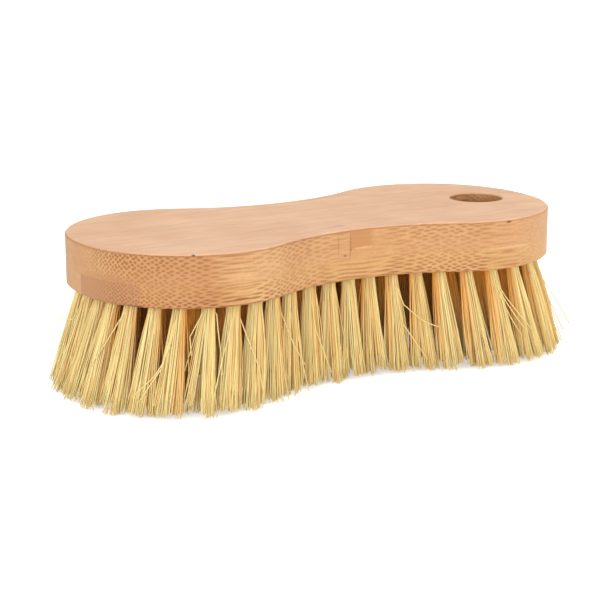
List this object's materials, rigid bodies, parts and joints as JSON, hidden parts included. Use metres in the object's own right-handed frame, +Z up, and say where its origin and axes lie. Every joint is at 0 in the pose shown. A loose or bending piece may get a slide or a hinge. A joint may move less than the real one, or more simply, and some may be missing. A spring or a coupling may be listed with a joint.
{
  "type": "scrub brush",
  "caption": "Waisted two-layer bamboo scrub brush block with a hanging hole at one end and fanned tufts of plant fibre anchored in blind holes.",
  "frame": {"origin": "on the plane of the bristle tips, under the middle of the block", "axes": "+X along the block to the end with the hanging hole, +Y across it to the rear, +Z up from the tips to the block's top"},
  "size_m": [0.1714, 0.0772, 0.0466],
  "materials": {
    "bamboo": "fine sanded, unvarnished",
    "plant_fibre": "stiff natural fibre",
    "anchor_steel": "drawn flat wire"
  },
  "bodies": {
    "root": {"centre_tufts_01": "plant_fibre", "centre_tufts_02": "plant_fibre", "centre_tufts_03": "plant_fibre", "inner_anchors": "anchor_steel", "inner_tufts_01": "plant_fibre", "inner_tufts_02": "plant_fibre", "inner_tufts_03": "plant_fibre", "inner_tufts_04": "plant_fibre", "inner_tufts_05": "plant_fibre", "inner_tufts_06": "plant_fibre", "inner_tufts_07": "plant_fibre", "inner_tufts_08": "plant_fibre", "inner_tufts_09": "plant_fibre", "inner_tufts_10": "plant_fibre", "inner_tufts_11": "plant_fibre", "inner_tufts_12": "plant_fibre", "inner_tufts_13": "plant_fibre", "inner_tufts_14": "plant_fibre", "lower_centre_board": "bamboo", "lower_front_board": "bamboo", "lower_rear_board": "bamboo", "outer_anchors": "anchor_steel", "outer_tufts_01": "plant_fibre", "outer_tufts_02": "plant_fibre", "outer_tufts_03": "plant_fibre", "outer_tufts_04": "plant_fibre", "outer_tufts_05": "plant_fibre", "outer_tufts_06": "plant_fibre", "outer_tufts_07": "plant_fibre", "outer_tufts_08": "plant_fibre", "outer_tufts_09": "plant_fibre", "outer_tufts_10": "plant_fibre", "outer_tufts_11": "plant_fibre", "outer_tufts_12": "plant_fibre", "outer_tufts_13": "plant_fibre", "outer_tufts_14": "plant_fibre", "outer_tufts_15": "plant_fibre", "outer_tufts_16": "plant_fibre", "outer_tufts_17": "plant_fibre", "outer_tufts_18": "plant_fibre", "outer_tufts_19": "plant_fibre", "outer_tufts_20": "plant_fibre", "outer_tufts_21": "plant_fibre", "outer_tufts_22": "plant_fibre", "outer_tufts_23": "plant_fibre", "outer_tufts_24": "plant_fibre", "upper_centre_board": "bamboo", "upper_front_left_board": "bamboo", "upper_front_right_board": "bamboo", "upper_rear_board": "bamboo"}
  },
  "joints": []
}
